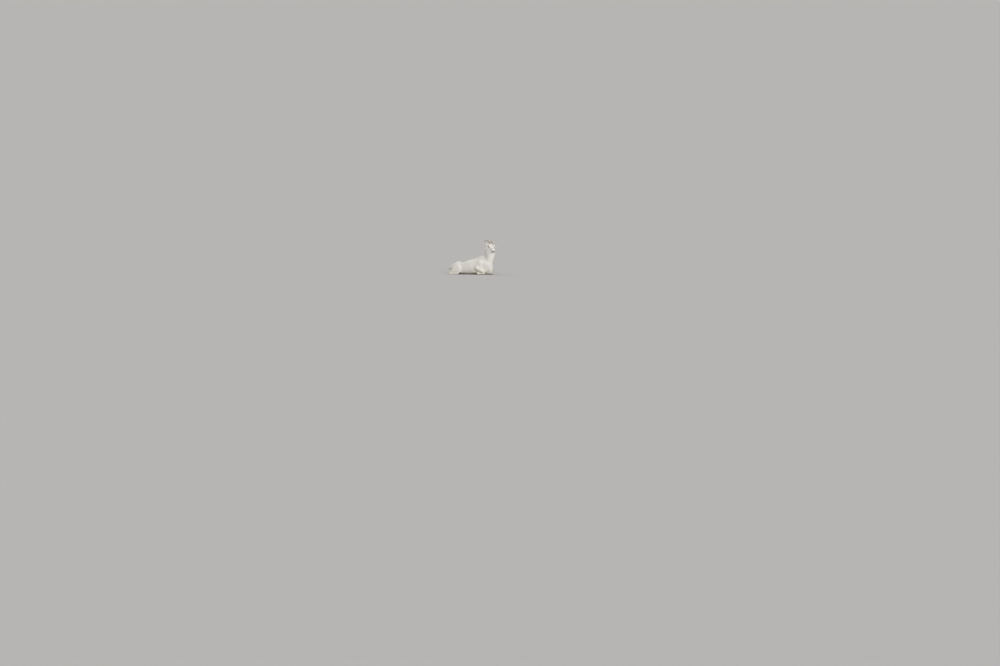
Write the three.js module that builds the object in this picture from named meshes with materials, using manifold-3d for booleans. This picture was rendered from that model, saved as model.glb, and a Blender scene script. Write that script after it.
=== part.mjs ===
// A life-size white mountain sheep ewe lying on its breastbone, legs folded, neck up, face turned
// to its right. Millimetres, +Z up, head end towards +X, right flank towards -Y, floor at z = 0.
// All outer sizes are out to the tips of the coat.

import * as THREE from 'three';
import { mergeVertices } from 'three/addons/utils/BufferGeometryUtils.js';
import Module from 'manifold-3d';

// Driving dimensions
const GAP = 0.3;                 // width of the thin cuts between neighbouring sub-parts
const FLOOR_SINK = 7;            // how far the belly and feet are pressed flat by the floor
const RUMP_END = -540;           // back of the rump, at the tail
const HIP_HEIGHT = 318;
const LOIN_HEIGHT = 284;
const WITHERS_HEIGHT = 438;
const CHEST_FRONT = 556;
const BARREL_HALF_WIDTH = 184;
const NECK_HALF_DEPTH = 134;     // half of the neck's depth, nape to throat, at mid length
const NECK_HALF_WIDTH = 84;
const EYE_LEVEL = new THREE.Vector3(489, -24, 663);   // midpoint between the eyes
const HEAD_TURN = THREE.MathUtils.degToRad(-40);      // towards the right flank
const HEAD_PITCH = THREE.MathUtils.degToRad(33);      // nose below level
const HEAD_ROLL = THREE.MathUtils.degToRad(-5);       // left ear lower than the right one
const HEAD_SIZE = 1.07;          // the head's outlines below are for a head of size 1
const EYE_RADIUS = 15.5;
const EYE_SPREAD = 57;           // half of the distance between the two eye centres
const EAR_LENGTH = 109;
const EAR_HALF_WIDTH = 25;
const EAR_HALF_THICKNESS = 7.5;
const RIGHT_EAR_RISE = 0.3;      // how high each ear points, beside a reach of 0.9 sideways
const LEFT_EAR_RISE = -0.06;
const HORN_BASE_HALF = 18;
const HORN_TIP_HALF = 4.5;
const KNEE_HALF = 34;
const FORE_CANNON_HALF = 24;
const HIND_CANNON_HALF = 25;
const HOOF_LENGTH = 62;
const HOOF_HALF_WIDTH = 25;
const HOOF_CLEFT = 5;            // slot between the two toes of a hoof
const KNEE_SPREAD = 150;         // knee to the middle plane
const FORE_STAGGER = 110;        // how far the left knee lies ahead of the right one
const FORE_LEG_INSIDE = 74;      // the fore legs' flat inner faces, from the middle plane
const HIND_LEG_INSIDE = 90;      // the same for the hind legs
const HIND_STAGGER = -14;        // how far the left hind foot lies behind the right one
const BIG = 4000;                // size of the blocks that cut

const COAT_WHITE = new THREE.MeshStandardMaterial({ color: 0xe4e2da, roughness: 0.95, metalness: 0 });
const HORN_BROWN = new THREE.MeshStandardMaterial({ color: 0xa08a66, roughness: 0.6, metalness: 0 });
const EYE_AMBER = new THREE.MeshStandardMaterial({ color: 0x3a2a14, roughness: 0.08, metalness: 0 });
const HOOF_DARK = new THREE.MeshStandardMaterial({ color: 0x2e2a26, roughness: 0.55, metalness: 0 });

const LATERAL = new THREE.Vector3(0, 1, 0);
const SIDES = { right: -1, left: 1 };

const wasm = await Module();
wasm.setup();

// Solids and back again
function signedVolume(position, index) {
  const a = new THREE.Vector3();
  const b = new THREE.Vector3();
  const c = new THREE.Vector3();
  let total = 0;
  for (let i = 0; i < index.length; i += 3) {
    a.fromArray(position, index[i] * 3);
    b.fromArray(position, index[i + 1] * 3);
    c.fromArray(position, index[i + 2] * 3);
    total += a.dot(b.cross(c)) / 6;
  }
  return total;
}

function solidFrom(geometry) {
  geometry.deleteAttribute('normal');
  geometry.deleteAttribute('uv');
  const merged = mergeVertices(geometry, 1e-3);
  const vertProperties = new Float32Array(merged.attributes.position.array);
  const triVerts = new Uint32Array(merged.index.array);
  if (signedVolume(vertProperties, triVerts) < 0) {
    for (let i = 0; i < triVerts.length; i += 3) {
      [triVerts[i], triVerts[i + 1]] = [triVerts[i + 1], triVerts[i]];
    }
  }
  return new wasm.Manifold(new wasm.Mesh({ numProp: 3, vertProperties, triVerts }));
}

function geometryFrom(solid) {
  const mesh = solid.getMesh();
  const geometry = new THREE.BufferGeometry();
  geometry.setAttribute('position', new THREE.BufferAttribute(new Float32Array(mesh.vertProperties), 3));
  geometry.setIndex(new THREE.BufferAttribute(new Uint32Array(mesh.triVerts), 1));
  geometry.computeVertexNormals();
  return geometry;
}

// A rounded body swept along a smooth path. Each station is its centre [x, y, z] and its girth
// [half width, rise, drop], measured across, above and below the path. The ends close in a dome.
// The sections stand square to the path, or to one facing where that is given.
function sweep(stations, options = {}) {
  const { sides = 20, rings = 12, dome = [0.1, 0.1], topPower = 2, lowPower = 2 } = options;
  const { across = LATERAL, grow = 0, facing = null } = options;
  const path = new THREE.CatmullRomCurve3(stations.map(([centre]) => new THREE.Vector3(...centre)));
  const girth = new THREE.CatmullRomCurve3(stations.map(([, size]) => new THREE.Vector3(...size)));
  const geometry = new THREE.SphereGeometry(1, sides, rings);
  const place = geometry.attributes.position;
  for (let row = 0; row <= rings; row += 1) {
    const even = row / rings;
    const t = (even + (1 - Math.cos(Math.PI * even)) / 2) / 2;
    const centre = path.getPoint(t);
    const along = facing ? facing.clone() : path.getTangent(t);
    const side = across.clone().addScaledVector(along, -across.dot(along)).normalize();
    const up = along.clone().cross(side);
    const size = girth.getPoint(t);
    const ends = [t / dome[0], (1 - t) / dome[1]].map((share) => Math.min(1, share));
    const closing = Math.min(...ends.map((share) => Math.sqrt(Math.max(0, 1 - (1 - share) ** 2))));
    centre.addScaledVector(along, grow * (2 * t - 1));
    for (let column = 0; column <= sides; column += 1) {
      const turn = (2 * Math.PI * column) / sides;
      const power = Math.sin(turn) >= 0 ? topPower : lowPower;
      const roundCos = Math.sign(Math.cos(turn)) * Math.abs(Math.cos(turn)) ** (2 / power);
      const roundSin = Math.sign(Math.sin(turn)) * Math.abs(Math.sin(turn)) ** (2 / power);
      const reach = roundSin >= 0 ? size.y : size.z;
      const point = centre.clone();
      point.addScaledVector(side, (size.x * closing + (closing > 0 ? grow : 0)) * roundCos);
      point.addScaledVector(up, (reach * closing + (closing > 0 ? grow : 0)) * roundSin);
      place.setXYZ(row * (sides + 1) + column, point.x, point.y, point.z);
    }
  }
  return solidFrom(geometry);
}

function ellipsoid(centre, radii, tilt = [0, 0, 0], grow = 0, detail = [12, 7]) {
  const geometry = new THREE.SphereGeometry(1, ...detail);
  geometry.scale(radii[0] + grow, radii[1] + grow, radii[2] + grow);
  geometry.rotateX(tilt[0]);
  geometry.rotateY(tilt[1]);
  geometry.rotateZ(tilt[2]);
  geometry.translate(...centre);
  return solidFrom(geometry);
}

function block(size, centre, turn = new THREE.Matrix4()) {
  const geometry = new THREE.BoxGeometry(...size);
  geometry.translate(...centre);
  geometry.applyMatrix4(turn);
  return solidFrom(geometry);
}

// Everything on the far side of a plane through point, facing along direction, pushed on by shift.
function beyond(point, direction, shift = 0) {
  const facing = new THREE.Vector3(...direction).normalize();
  const turn = new THREE.Matrix4().makeRotationFromQuaternion(
    new THREE.Quaternion().setFromUnitVectors(new THREE.Vector3(0, 0, 1), facing));
  turn.setPosition(new THREE.Vector3(...point).addScaledVector(facing, shift));
  return block([BIG, BIG, BIG], [0, 0, BIG / 2], turn);
}

// Splits a solid at a plane, leaving the thin cut. Returns the part behind and the part beyond.
function part(solid, point, direction) {
  return [
    solid.subtract(beyond(point, direction, -GAP / 2)),
    solid.intersect(beyond(point, direction, GAP / 2)),
  ];
}

// Everything further from the middle plane than a distance, on one side
const flankOf = (side, distance) => beyond([0, side * distance, 0], [0, side, 0]);
const belowFloor = block([BIG, BIG, BIG], [0, 0, -BIG / 2]);
const onFloor = (solid) => solid.subtract(belowFloor);
const joined = (solids) => solids.reduce((whole, next) => whole.add(next));
const without = (solid, others) => others.reduce((rest, other) => rest.subtract(other), solid);

// The trunk, from its outline seen from the side: x, top of the back, underside, half width, and
// the height of the widest place as a share of the section.
const TRUNK_OUTLINE = [
  [RUMP_END, 118, 30, 46, 0.45],
  [RUMP_END + 22, 160, 10, 84, 0.42],
  [-490, 212, -FLOOR_SINK, 128, 0.4],
  [-442, 266, -FLOOR_SINK, 152, 0.4],
  [-395, 304, -FLOOR_SINK, 163, 0.4],
  [-342, HIP_HEIGHT, -FLOOR_SINK, 168, 0.4],
  [-268, LOIN_HEIGHT, -FLOOR_SINK, 172, 0.4],
  [-143, 328, -FLOOR_SINK, 0.98 * BARREL_HALF_WIDTH, 0.41],
  [-40, 354, -FLOOR_SINK, BARREL_HALF_WIDTH, 0.42],
  [60, 379, -FLOOR_SINK, 0.97 * BARREL_HALF_WIDTH, 0.43],
  [150, 404, -FLOOR_SINK, 0.9 * BARREL_HALF_WIDTH, 0.43],
  [230, WITHERS_HEIGHT, -FLOOR_SINK, 0.82 * BARREL_HALF_WIDTH, 0.43],
  [310, WITHERS_HEIGHT + 10, -FLOOR_SINK, 142, 0.45],
  [390, 432, -FLOOR_SINK, 134, 0.46],
  [460, 402, -FLOOR_SINK, 120, 0.46],
  [520, 346, -FLOOR_SINK + 2, 100, 0.46],
  [CHEST_FRONT, 268, 22, 64, 0.46],
];

function trunk() {
  const stations = TRUNK_OUTLINE.map(([x, top, low, halfWidth, share]) => {
    const middle = low + share * (top - low);
    return [[x, 0, middle], [halfWidth, top - middle, middle - low]];
  });
  const options = { sides: 20, rings: 17, dome: [0.02, 0.045], topPower: 2.05, lowPower: 2.7,
    facing: new THREE.Vector3(1, 0, 0) };
  return sweep(stations, options);
}

// The neck, rising almost upright: centre, half width, nape and throat.
function neck() {
  return sweep([
    [[420, 0, 120], [70, 60, 80]],
    [[424, 0, 205], [98, 90, 112]],
    [[436, 0, 300], [108, 106, 118]],
    [[448, 0, 400], [104, 0.96 * NECK_HALF_DEPTH, 0.98 * NECK_HALF_DEPTH]],
    [[457, 0, 478], [93, NECK_HALF_DEPTH, NECK_HALF_DEPTH]],
    [[464, -1, 550], [NECK_HALF_WIDTH, 1.06 * NECK_HALF_DEPTH, 1.04 * NECK_HALF_DEPTH]],
    [[452, 0, 606], [76, 0.98 * NECK_HALF_DEPTH, 0.88 * NECK_HALF_DEPTH]],
    [[436, 8, 656], [68, 0.74 * NECK_HALF_DEPTH, 0.48 * NECK_HALF_DEPTH]],
    [[428, 16, 700], [56, 62, 44]],
    [[424, 20, 730], [40, 40, 30]],
  ], { sides: 18, rings: 12, dome: [0.12, 0.1], topPower: 2.1, lowPower: 2.1 });
}

// The head's own frame: +X towards the nose, +Y to its left, origin between the eyes.
const headFrame = new THREE.Matrix4()
  .makeRotationFromEuler(new THREE.Euler(HEAD_ROLL, HEAD_PITCH, HEAD_TURN, 'ZYX'))
  .scale(new THREE.Vector3(HEAD_SIZE, HEAD_SIZE, HEAD_SIZE))
  .setPosition(EYE_LEVEL);

const inHead = (solid) => solid.transform(headFrame.toArray());

// Head: distance from the eyes along the face, half width, forehead above and jaw below.
const HEAD_OUTLINE = [
  [-112, 40, 38, 40],
  [-92, 54, 56, 62],
  [-62, 62, 63, 80],
  [-28, 65, 63, 89],
  [0, 64, 58, 88],
  [30, 56, 50, 80],
  [60, 46, 43, 71],
  [95, 40, 36, 62],
  [125, 38, 31, 56],
  [148, 36, 24, 50],
  [166, 29, 10, 38],
];

function skullAndFace() {
  const stations = HEAD_OUTLINE.map(([x, halfWidth, rise, drop]) => [[x, 0, 0], [halfWidth, rise, drop]]);
  const options = { sides: 16, rings: 14, dome: [0.12, 0.045], topPower: 2.2, lowPower: 2.2 };
  const brows = Object.values(SIDES).map((side) => (
    ellipsoid([-6, side * 47, 20], [28, 20, 17], [0, 0.3, -side * 0.35], 0, [10, 6])));
  return joined([sweep(stations, options), ...brows]);
}

function eye(side, grow = 0) {
  const radius = EYE_RADIUS + grow;
  return ellipsoid([3, side * EYE_SPREAD, 4], [radius, radius, radius], [0, 0, 0], 0, [10, 7]);
}

function ear(side, grow = 0) {
  const root = new THREE.Vector3(-60, side * 51, 10);
  const rise = side === SIDES.right ? RIGHT_EAR_RISE : LEFT_EAR_RISE;
  const reach = new THREE.Vector3(0.3, side * 0.9, rise).normalize();
  const flat = new THREE.Vector3(0.78, side * -0.38, 0.2);
  flat.addScaledVector(reach, -flat.dot(reach)).normalize();
  const width = flat.clone().cross(reach).normalize();
  const at = (share) => root.clone().addScaledVector(reach, share * EAR_LENGTH).toArray();
  const size = (wide, thick) => [wide * EAR_HALF_WIDTH, thick * EAR_HALF_THICKNESS,
    thick * EAR_HALF_THICKNESS];
  return sweep([
    [at(-0.06), size(0.62, 1.5)],
    [at(0.12), size(0.72, 1.5)],
    [at(0.35), size(0.98, 1.1)],
    [at(0.6), size(1, 0.9)],
    [at(0.85), size(0.7, 0.75)],
    [at(1), size(0.32, 0.55)],
  ], { sides: 10, rings: 8, dome: [0.08, 0.1], across: width, grow });
}

// A horn rises from behind the eyes and curves back and outwards.
function horn(side, grow = 0) {
  const girth = (share) => {
    const half = THREE.MathUtils.lerp(HORN_BASE_HALF, HORN_TIP_HALF, share);
    return [0.82 * half, half, half];
  };
  return sweep([
    [[-34, side * 22, 42], girth(0)],
    [[-60, side * 28, 61], girth(0.06)],
    [[-96, side * 38, 73], girth(0.24)],
    [[-134, side * 52, 72], girth(0.43)],
    [[-163, side * 71, 54], girth(0.62)],
    [[-181, side * 93, 25], girth(0.8)],
    [[-187, side * 113, -4], girth(1)],
  ], { sides: 8, rings: 11, dome: [0.04, 0.05], grow });
}

// A fore leg folded under the chest: shoulder, forearm forwards to the knee, cannon back under it.
function foreLeg(side, grow = 0) {
  const ahead = side > 0 ? FORE_STAGGER : 0;
  const inward = side > 0 ? 34 : 0;
  const kneeAcross = side * (KNEE_SPREAD - inward);
  const shoulder = ellipsoid([222, side * 106, 236], [98, 62, 130], [-side * 0.16, 0.42, 0], grow);
  const elbow = ellipsoid([172 + ahead / 3, side * 148, 158], [62, 46, 72], [0, 0.3, 0], grow, [12, 8]);
  const forearm = sweep([
    [[158 + ahead / 3, side * 146, 150], [40, 50, 50]],
    [[225 + ahead / 2, side * 151, 124], [39, 46, 46]],
    [[296 + ahead, side * (151 - inward / 2), 86], [34, 37, 37]],
    [[360 + ahead, kneeAcross, 56], [KNEE_HALF, KNEE_HALF, KNEE_HALF]],
    [[386 + ahead, kneeAcross, 45], [0.9 * KNEE_HALF, 0.9 * KNEE_HALF, 0.9 * KNEE_HALF]],
  ], { sides: 10, rings: 7, dome: [0.12, 0.12], grow });
  const low = FORE_CANNON_HALF - 3;
  const cannon = sweep([
    [[390 + ahead, kneeAcross, 38], [0.88 * KNEE_HALF, 32, 40]],
    [[352 + ahead, kneeAcross, 30], [27, 28, 34]],
    [[298 + ahead, kneeAcross - side * 2, low + 2], [FORE_CANNON_HALF, 22, 26]],
    [[236 + ahead, kneeAcross - side * 4, low + 2], [FORE_CANNON_HALF, 23, 26]],
    [[200 + ahead, kneeAcross - side * 4, low + 4], [27, 27, 28]],
    [[170 + ahead, kneeAcross - side * 4, low + 2], [23, 22, 25]],
  ], { sides: 10, rings: 7, dome: [0.08, 0.08], grow });
  return joined([shoulder, elbow, forearm, cannon]).intersect(flankOf(side, FORE_LEG_INSIDE - grow));
}

// A hind leg folded beside the belly: thigh, shank back to the hock, cannon forwards on the floor.
function hindLeg(side, grow = 0) {
  const back = side > 0 ? HIND_STAGGER : 0;
  const thigh = ellipsoid([-372, side * 106, 148], [158, 82, 128], [side * 0.1, -0.36, side * 0.07],
    grow, [15, 9]);
  const stifle = ellipsoid([-276, side * 150, 118], [64, 50, 88], [0, -0.25, 0], grow, [12, 8]);
  const shank = sweep([
    [[-262, side * 158, 100], [42, 52, 52]],
    [[-350, side * 166, 86], [43, 52, 50]],
    [[-440, side * 164, 70], [38, 42, 42]],
    [[-512 + back, side * 158, 56], [32, 36, 36]],
  ], { sides: 10, rings: 6, dome: [0.12, 0.12], grow });
  const low = HIND_CANNON_HALF - 3;
  const cannon = sweep([
    [[-534 + back, side * 158, 50], [28, 34, 30]],
    [[-498 + back, side * 162, 36], [31, 34, 42]],
    [[-430 + back, side * 172, low + 3], [HIND_CANNON_HALF, 26, 28]],
    [[-352 + back, side * 182, low + 2], [HIND_CANNON_HALF, 24, 27]],
    [[-302 + back, side * 188, low + 4], [28, 28, 29]],
    [[-266 + back, side * 192, low + 2], [24, 24, 26]],
  ], { sides: 10, rings: 7, dome: [0.1, 0.08], grow });
  return joined([thigh, stifle, shank, cannon]).intersect(flankOf(side, HIND_LEG_INSIDE - grow));
}

// A cloven hoof lying on the floor: two toes joined at the heel. Heading is the way the toes point.
function hoof(centre, heading, grow = 0) {
  const outline = new THREE.Shape();
  const half = HOOF_HALF_WIDTH + grow;
  const length = HOOF_LENGTH + grow;
  outline.moveTo(-grow, -0.8 * half);
  outline.quadraticCurveTo(0.3 * length, -1.12 * half, 0.62 * length, -0.92 * half);
  outline.quadraticCurveTo(0.95 * length, -0.72 * half, length, -0.14 * half);
  if (grow === 0) {
    outline.lineTo(0.94 * length, -HOOF_CLEFT / 2);
    outline.lineTo(0.34 * length, -HOOF_CLEFT / 2);
    outline.lineTo(0.34 * length, HOOF_CLEFT / 2);
    outline.lineTo(0.94 * length, HOOF_CLEFT / 2);
  }
  outline.lineTo(length, 0.14 * half);
  outline.quadraticCurveTo(0.95 * length, 0.72 * half, 0.62 * length, 0.92 * half);
  outline.quadraticCurveTo(0.3 * length, 1.12 * half, -grow, 0.8 * half);
  outline.closePath();
  const plate = new THREE.ExtrudeGeometry(outline, { depth: 2 * half, bevelEnabled: false,
    curveSegments: 2 });
  plate.translate(0, 0, -half);
  const dome = sweep([
    [[-26 - grow, 0, 4], [0.85 * half, half, half]],
    [[0.35 * length, 0, 2], [1.05 * half, half, half]],
    [[0.75 * length, 0, -2], [0.95 * half, 0.86 * half, half]],
    [[length + 3, 0, -8], [0.6 * half, 0.52 * half, 0.7 * half]],
  ], { sides: 8, rings: 4, dome: [0.05, 0.12] });
  const turn = new THREE.Matrix4().makeRotationZ(heading).setPosition(...centre);
  return solidFrom(plate).intersect(dome).transform(turn.toArray());
}

function foreHoof(side, grow = 0) {
  const ahead = side > 0 ? FORE_STAGGER : 0;
  const inward = side > 0 ? 34 : 0;
  const across = side * (KNEE_SPREAD - 4 - inward);
  return hoof([166 + ahead, across, HOOF_HALF_WIDTH - 3], Math.PI - side * 0.04, grow);
}

function hindHoof(side, grow = 0) {
  const back = side > 0 ? HIND_STAGGER : 0;
  return hoof([-264 + back, side * 192, HOOF_HALF_WIDTH - 3], side * 0.06, grow);
}

function tail(grow = 0) {
  return sweep([
    [[-500, 0, 190], [26, 18, 20]],
    [[-536, 0, 168], [27, 17, 20]],
    [[-563, 0, 132], [25, 15, 18]],
    [[-574, 0, 92], [15, 9, 11]],
  ], { sides: 12, rings: 7, dome: [0.1, 0.12], grow });
}

// The whole animal in one piece, then parted
const eyes = Object.entries(SIDES).map(([name, side]) => [`eye_${name}`, inHead(eye(side))]);
const headHoles = Object.values(SIDES).flatMap((side) => [eye(side, GAP), horn(side, GAP)]);
const ears = Object.entries(SIDES).map(([name, side]) => (
  [`ear_${name}`, inHead(without(ear(side), [horn(side, GAP)]))]));
const earHoles = Object.values(SIDES).map((side) => ear(side, GAP));
const horns = Object.entries(SIDES).map(([name, side]) => [`horn_${name}`, inHead(horn(side))]);

const NECK_TOP = [436, 10, 640];           // a point on the cut between head and neck
const NECK_TOP_FACING = [0.35, -0.2, 0.92];
const NECK_BASE = [400, 0, 418];           // a point on the cut between neck and trunk
const NECK_BASE_FACING = [0.3, 0, 0.95];
const LOIN_CUT = [-160, 0, 0];
const FACE_GROWTH = 1 + GAP / 60;          // widens the face by the gap, at its half width of 60

const face = inHead(skullAndFace());
const headCutters = [...headHoles, ...earHoles].map(inHead);
const column = joined([trunk(), neck()]);
const [belowNeck, aboveNeck] = part(column, NECK_BASE, NECK_BASE_FACING);
const faceHole = inHead(skullAndFace().scale([FACE_GROWTH, FACE_GROWTH, FACE_GROWTH]));
const [neckOnly, neckCap] = part(aboveNeck, NECK_TOP, NECK_TOP_FACING);
const headSolid = without(joined([face, neckCap]), headCutters);
const neckSolid = without(neckOnly, [faceHole, ...headCutters]);

const legs = Object.entries(SIDES).flatMap(([name, side]) => {
  const knee = side > 0 ? FORE_STAGGER : 0;
  const fore = without(onFloor(foreLeg(side)), [foreHoof(side, GAP)]);
  const [foreUpper, foreLower] = part(fore, [386 + knee, 0, 50], [0.17, 0, -1]);
  const hind = without(onFloor(hindLeg(side)), [hindHoof(side, GAP)]);
  const [hindUpper, hindLower] = part(hind, [-540, 0, 62], [-0.14, 0, -1]);
  return [
    [`fore_leg_upper_${name}`, foreUpper],
    [`fore_leg_lower_${name}`, foreLower],
    [`hind_leg_upper_${name}`, hindUpper],
    [`hind_leg_lower_${name}`, hindLower],
  ];
});

const hooves = Object.entries(SIDES).flatMap(([name, side]) => [
  [`fore_hoof_${name}`, onFloor(foreHoof(side))],
  [`hind_hoof_${name}`, onFloor(hindHoof(side))],
]);

const limbHoles = Object.values(SIDES).flatMap((side) => [
  foreLeg(side, GAP),
  hindLeg(side, GAP),
  foreHoof(side, GAP),
  hindHoof(side, GAP),
]);
const trunkWhole = without(onFloor(belowNeck), [...limbHoles, tail(GAP)]);
const [trunkRear, trunkFront] = part(trunkWhole, LOIN_CUT, [1, 0, 0]);

const flesh = [
  ['head', headSolid],
  ['neck', neckSolid],
  ['trunk_front', trunkFront],
  ['trunk_rear', trunkRear],
  ['tail', tail()],
  ...legs,
  ...ears,
];

// The scene graph
const animal = new THREE.Group();

function addNode(name, solid, material) {
  const mesh = new THREE.Mesh(geometryFrom(solid), material);
  mesh.name = name;
  animal.add(mesh);
}

flesh.forEach(([name, solid]) => addNode(name, solid, COAT_WHITE));
horns.forEach(([name, solid]) => addNode(name, solid, HORN_BROWN));
eyes.forEach(([name, solid]) => addNode(name, solid, EYE_AMBER));
hooves.forEach(([name, solid]) => addNode(name, solid, HOOF_DARK));

// The origin is on the floor under the middle of the whole outline.
const outline = new THREE.Box3().setFromObject(animal);
const middle = outline.getCenter(new THREE.Vector3());
animal.position.set(-middle.x, -middle.y, -outline.min.z);
animal.updateMatrixWorld(true);

export default animal;
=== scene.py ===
import math

import bmesh
import bpy
import numpy as np
from mathutils import Matrix, Vector
from mathutils.bvhtree import BVHTree


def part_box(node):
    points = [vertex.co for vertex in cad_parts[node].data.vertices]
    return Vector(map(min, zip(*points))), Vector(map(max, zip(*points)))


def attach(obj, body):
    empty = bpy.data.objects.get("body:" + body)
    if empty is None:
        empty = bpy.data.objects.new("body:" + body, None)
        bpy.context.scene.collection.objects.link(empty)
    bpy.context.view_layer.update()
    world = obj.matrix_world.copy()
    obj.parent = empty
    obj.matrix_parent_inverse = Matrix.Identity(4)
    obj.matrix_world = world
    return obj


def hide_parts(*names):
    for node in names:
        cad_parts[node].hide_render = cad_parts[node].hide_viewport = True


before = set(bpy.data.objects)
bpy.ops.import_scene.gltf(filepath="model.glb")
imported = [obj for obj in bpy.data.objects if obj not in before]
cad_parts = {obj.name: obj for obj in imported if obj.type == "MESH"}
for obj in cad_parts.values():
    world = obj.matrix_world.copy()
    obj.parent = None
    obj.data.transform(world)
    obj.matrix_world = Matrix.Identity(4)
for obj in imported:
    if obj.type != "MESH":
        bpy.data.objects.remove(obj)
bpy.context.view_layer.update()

bl_info = {
    "name": "Bedded sheep ewe",
    "version": (1, 0, 0),
    "blender": (4, 5, 0),
    "location": "View3D > Sidebar > Ewe",
    "description": "Skin, coat, eyes, horns, hooves and stage of a life-size sheep ewe lying down",
    "category": "Object",
}

MM = 0.001

# The head's frame and places in it, in millimetres, as in the solids' driving dimensions
HEAD_TURN = math.radians(-40)
HEAD_PITCH = math.radians(33)
HEAD_ROLL = math.radians(-5)
HEAD_SIZE = 1.07
EYE_MIDDLE = np.array([3.0, 0.0, 4.0])
HORN_PATH = [(-20, 18, 20), (-34, 22, 42), (-60, 28, 61), (-96, 38, 73), (-134, 52, 72), (-163, 71, 54),
             (-181, 93, 25), (-187, 113, -4)]
HORN_BASE_HALF = 18.0
HORN_TIP_HALF = 4.5
HORN_FLATNESS = 0.82
EAR_ROOT = np.array([-60.0, 51.0, 10.0])
EAR_RISE = {-1: 0.3, 1: -0.06}
EAR_FACING = np.array([0.78, -0.38, 0.2])
# A ball under each horn closes the skin there, and the face's own shapes start at FACE_START
HORN_ROOT = (-42, 24, 42)
HORN_ROOT_RADIUS = 23
FACE_START = -50
# Hollows and swellings on each side of the face: height, middle and reach
FACE_FORMS = (
    (-4.2, (30, 47, -8), 12),     # in front of the eye
    (4.0, (-22, 56, -46), 32),    # jaw
    (2.2, (34, 50, -22), 20),     # cheek bone
    (4.2, (2, 55, 26), 16),       # brow
    (-3.6, (84, 36, -6), 26),     # side of the nose
    (3.0, (154, 21, 5), 14),      # wing of the nostril
    (2.6, (144, 28, -17), 16),    # upper lip
)

# Places measured from the reference point on the floor, in millimetres
HEAD_PLACE = np.array([489.0, -24.0, 663.0])
WITHERS = np.array([250.0, 0.0, 430.0])

# Heights over the floor and reaches, in metres
NECK_TOP = (0.48, 0.56)
WITHERS_REACH = 0.065
SKIN_FLOOR = 0.0012
COAT_FLOOR = 0.001

# The key light comes from ahead of the animal on its right, the fill from behind it on its left
LAMP_AIMS = {"key": (-0.6, 0.75, -0.3), "fill": (0.8, -0.25, -0.55)}
LAMP_WIDTH = math.radians(45)
LIGHT_COLOUR = (1.0, 0.99, 0.975)

# Where the photo shows the model's reference point, in the frame of 1000 x 666 pixels
PHOTO_SIZE = (1000, 666)
REFERENCE_PIXEL = (472.1, 274.3)

SIDES = {"right": -1, "left": 1}
LEG_PARTS = [f"{leg}_leg_{part}_{side}" for leg in ("fore", "hind")
             for part in ("upper", "lower") for side in SIDES]
EARS = [f"ear_{side}" for side in SIDES]
HOOVES = [f"{leg}_hoof_{side}" for leg in ("fore", "hind") for side in SIDES]
FLESH = ["head", "neck", "trunk_front", "trunk_rear", "tail"] + LEG_PARTS + EARS

# Depth of the coat over each node, length, width and lift of its tufts, tufts for each square centimetre
COAT_OF = {
    "head": (4.0, 12.0, 1.7, 0.22, 13.0),
    "neck": (10.0, 30.0, 2.6, 0.27, 5.2),
    "trunk": (9.0, 28.0, 2.6, 0.26, 4.9),
    "tail": (7.0, 21.0, 2.4, 0.30, 6.2),
    "leg_upper": (8.0, 22.0, 2.4, 0.28, 6.2),
    "leg_lower": (4.0, 10.0, 1.9, 0.26, 11.0),
    "ear": (1.6, 7.0, 1.5, 0.18, 19.0),
}
# Direction in which the hair of each node points
LIE_OF = {
    "neck": (-0.45, 0, -0.9), "trunk_front": (-1, 0, -0.35), "trunk_rear": (-1, 0, -0.3),
    "tail": (-0.4, 0, -1), "fore_leg_upper": (-0.7, 0, -0.85), "fore_leg_lower": (-1, 0, -0.1),
    "hind_leg_upper": (-0.6, 0, -0.8), "hind_leg_lower": (1, 0, -0.1),
}
# The same for the lower stretch of a node, and the heights between which it takes over
LOW_LIE_OF = {
    "fore_leg_upper": ((0.85, 0, -0.35), 0.10, 0.20),
    "hind_leg_upper": ((-1, 0, -0.2), 0.09, 0.15),
}
COAT_PIECES = 8
LOCKS = 4
MOST_FACES = 195000
UNDERSIDE = 0.0022    # skin below this height is pressed flat on the floor and needs no tufts


def kind_of(node):
    """The row of COAT_OF that a node takes its coat from."""
    for kind in ("leg_upper", "leg_lower", "trunk", "ear"):
        if kind in node:
            return kind
    return node


def smoothstep(low, high, value):
    t = np.clip((value - low) / (high - low), 0, 1)
    return t * t * (3 - 2 * t)


def unit(vectors):
    return vectors / (np.linalg.norm(vectors, axis=-1, keepdims=True) + 1e-12)


def middle_of(node):
    low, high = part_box(node)
    return (np.array(low) + np.array(high)) / 2


class HeadFrame:
    """The head's own frame: X to the nose, Y to the animal's left, Z up, in millimetres at size 1."""

    def __init__(self):
        turns = ((HEAD_TURN, "Z"), (HEAD_PITCH, "Y"), (HEAD_ROLL, "X"))
        self.turn = np.linalg.multi_dot([np.array(Matrix.Rotation(a, 3, b)) for a, b in turns])
        self.scale = HEAD_SIZE * MM
        between = (middle_of("eye_right") + middle_of("eye_left")) / 2
        self.origin = between - self.turn @ EYE_MIDDLE * self.scale

    def inside(self, points):
        return (points - self.origin) @ self.turn / self.scale

    def outside(self, points):
        return self.origin + np.asarray(points, float) * self.scale @ self.turn.T

    def direction(self, vector):
        return unit(self.turn @ np.asarray(vector, float))


HEAD = HeadFrame()
REFERENCE = HEAD.origin - HEAD_PLACE * MM


# Meshes


def arrays_from(bm):
    """The points and triangles of a bmesh, which it frees."""
    bmesh.ops.triangulate(bm, faces=bm.faces)
    bm.verts.index_update()
    points = np.array([v.co for v in bm.verts])
    faces = np.array([[v.index for v in f.verts] for f in bm.faces])
    bm.free()
    return points, faces


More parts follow.
